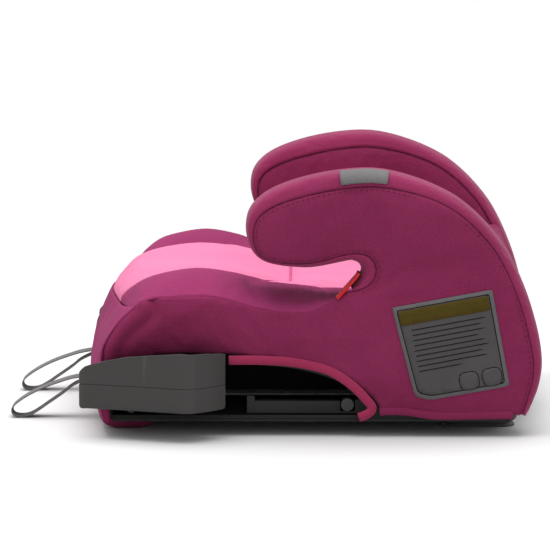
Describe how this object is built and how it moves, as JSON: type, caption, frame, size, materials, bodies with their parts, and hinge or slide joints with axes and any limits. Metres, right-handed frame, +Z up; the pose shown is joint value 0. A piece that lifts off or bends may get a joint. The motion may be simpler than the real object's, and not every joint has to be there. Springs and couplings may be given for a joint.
{
  "type": "booster seat",
  "caption": "Backless child booster seat with padded horseshoe arms, fabric seat, swing-out cup holders, belt notches and lower anchor connectors.",
  "frame": {"origin": "on the floor under the middle of the seat", "axes": "+Z up, -Y towards the child's knees, +X towards the child's left"},
  "size_m": [0.5146, 0.5019, 0.2427],
  "materials": {
    "side_fabric": "dark raspberry knitted seat fabric, matt",
    "band_fabric": "magenta knitted seat fabric, matt",
    "pink_fabric": "bright pink knitted seat fabric, matt",
    "shell_plastic": "dark grey moulded plastic, fine texture",
    "cup_plastic": "charcoal moulded plastic, satin",
    "foot_plastic": "mid grey plastic",
    "red_plastic": "red plastic",
    "webbing": "grey woven tape",
    "steel": "zinc plated steel",
    "label": "plain grey label, no lettering",
    "frame_plastic": "grey moulded plastic"
  },
  "bodies": {
    "seat": {"base_shell": "shell_plastic", "bottom_plate": "shell_plastic", "seat_pad": "pink_fabric", "front_panel": "side_fabric", "back_frame": "frame_plastic", "back_pad": "band_fabric", "rear_panel": "side_fabric", "crest_tab": "label", "side_label": "label", "front_tag": "label", "front_foot_left": "side_fabric", "front_foot_right": "side_fabric", "rear_foot_left": "foot_plastic", "rear_foot_right": "foot_plastic", "front_screw_left": "steel", "front_screw_right": "steel", "rear_screw_left": "steel", "rear_screw_right": "steel", "cavity_rail_left": "shell_plastic", "cavity_rail_right": "shell_plastic", "rail_catch_left": "cup_plastic", "rail_catch_right": "cup_plastic", "cup_pivot_pin_left": "steel", "cup_pivot_pin_right": "steel", "arm_band_left": "band_fabric", "arm_band_right": "band_fabric", "arm_frame_left": "frame_plastic", "arm_frame_right": "frame_plastic", "arm_pad_left": "band_fabric", "arm_pad_right": "band_fabric", "side_panel_left": "side_fabric", "side_panel_right": "side_fabric", "arch_trim_left": "band_fabric", "arch_trim_right": "band_fabric", "belt_guide_left": "red_plastic", "belt_guide_right": "red_plastic", "seat_bolster_left": "band_fabric", "seat_bolster_right": "band_fabric", "adjuster_body_left": "steel", "adjuster_body_right": "steel", "pull_strap_left": "webbing", "pull_strap_right": "webbing", "strap_bezel_left": "cup_plastic", "strap_bezel_right": "cup_plastic"},
    "cup_left": {"cup_holder_left": "cup_plastic"},
    "connector_left": {"connector_housing_left": "cup_plastic", "jaw_pin_left": "steel", "anchor_webbing_left": "webbing"},
    "jaw_left": {"connector_jaw_left": "steel"},
    "button_left": {"release_button_left": "red_plastic"},
    "lever_left": {"adjuster_lever_left": "cup_plastic"},
    "cup_right": {"cup_holder_right": "cup_plastic"},
    "connector_right": {"connector_housing_right": "cup_plastic", "jaw_pin_right": "steel", "anchor_webbing_right": "webbing"},
    "jaw_right": {"connector_jaw_right": "steel"},
    "button_right": {"release_button_right": "red_plastic"},
    "lever_right": {"adjuster_lever_right": "cup_plastic"}
  },
  "joints": [
    {"name": "cup_left_swing", "type": "hinge", "parent": "seat", "child": "cup_left", "pos_m": [0.17, -0.173, 0.05], "axis": [0, 0, 1], "range_deg": [0, 97]},
    {"name": "connector_left_pull", "type": "slide", "parent": "seat", "child": "connector_left", "axis": [0, 1, 0], "range_m": [0, 0.1]},
    {"name": "jaw_left_open", "type": "hinge", "parent": "connector_left", "child": "jaw_left", "pos_m": [0.087, 0.126, 0.0325], "axis": [1, 0, 0], "range_deg": [0, 25], "stiffness_Nm_per_rad": 0.05, "springref_deg": -11.46},
    {"name": "button_left_press", "type": "slide", "parent": "connector_left", "child": "button_left", "axis": [0, -1, 0], "range_m": [0, 0.005]},
    {"name": "lever_left_release", "type": "hinge", "parent": "seat", "child": "lever_left", "pos_m": [0.087, -0.176, 0.0235], "axis": [1, 0, 0], "range_deg": [0, 14], "stiffness_Nm_per_rad": 0.05, "springref_deg": -11.46},
    {"name": "cup_right_swing", "type": "hinge", "parent": "seat", "child": "cup_right", "pos_m": [-0.17, -0.173, 0.05], "axis": [0, 0, 1], "range_deg": [-97, 0]},
    {"name": "connector_right_pull", "type": "slide", "parent": "seat", "child": "connector_right", "axis": [0, 1, 0], "range_m": [0, 0.1]},
    {"name": "jaw_right_open", "type": "hinge", "parent": "connector_right", "child": "jaw_right", "pos_m": [-0.087, 0.126, 0.0325], "axis": [1, 0, 0], "range_deg": [0, 25], "stiffness_Nm_per_rad": 0.05, "springref_deg": -11.46},
    {"name": "button_right_press", "type": "slide", "parent": "connector_right", "child": "button_right", "axis": [0, -1, 0], "range_m": [0, 0.005]},
    {"name": "lever_right_release", "type": "hinge", "parent": "seat", "child": "lever_right", "pos_m": [-0.087, -0.176, 0.0235], "axis": [1, 0, 0], "range_deg": [0, 14], "stiffness_Nm_per_rad": 0.05, "springref_deg": -11.46}
  ],
  "couplings": [
    {"joint": "button_left_press", "follows": "jaw_left_open", "m_per_rad": 0.011},
    {"joint": "button_right_press", "follows": "jaw_right_open", "m_per_rad": 0.011}
  ]
}
